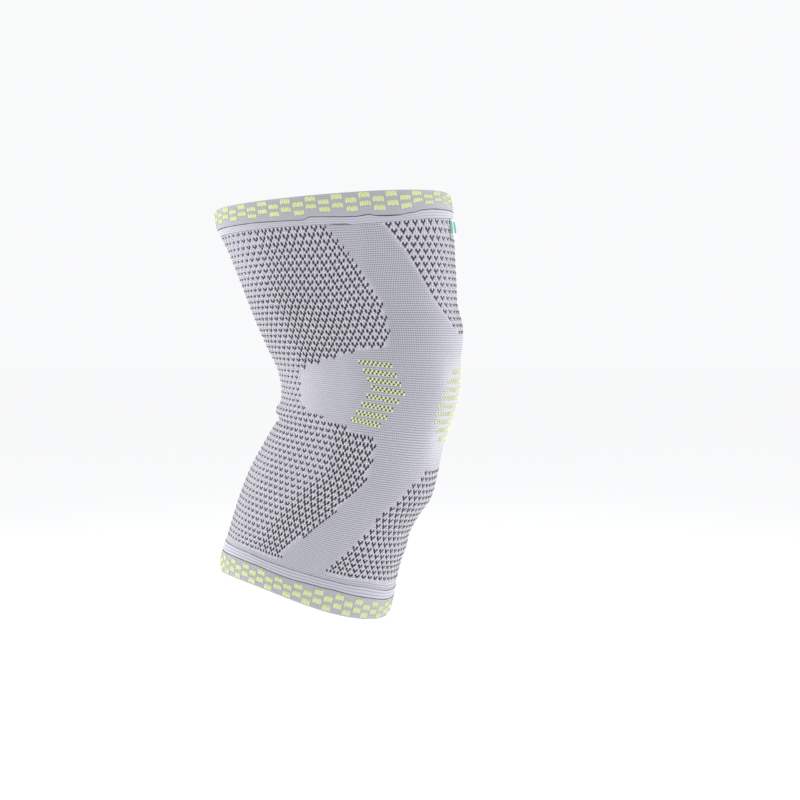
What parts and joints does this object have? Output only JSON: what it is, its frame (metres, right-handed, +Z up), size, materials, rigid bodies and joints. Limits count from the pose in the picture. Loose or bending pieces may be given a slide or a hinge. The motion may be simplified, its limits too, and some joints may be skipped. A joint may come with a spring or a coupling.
{
  "type": "knitted knee brace sleeve",
  "caption": "Pull-on knitted compression knee brace in its worn, slightly bent form: a mesh and plain knit tube with folded check welts and a small tag.",
  "frame": {"origin": "middle of the knee, in the hollow of the sleeve, halfway between its front and back", "axes": "+Z up the leg as worn, -Y to the front of the knee, -X to the outer side of a right leg"},
  "size_m": [0.1152, 0.167, 0.2817],
  "materials": {
    "grey_knit": "matt lilac-grey elastic knit with dark mesh marks and lime bars",
    "check_knit": "matt grey double knit with a lime checkerboard",
    "woven_tag": "smooth woven tape, mint with white ends"
  },
  "bodies": {
    "root": {"sleeve_body": "grey_knit", "top_welt": "check_knit", "bottom_welt": "check_knit", "side_tag": "woven_tag"}
  },
  "joints": []
}
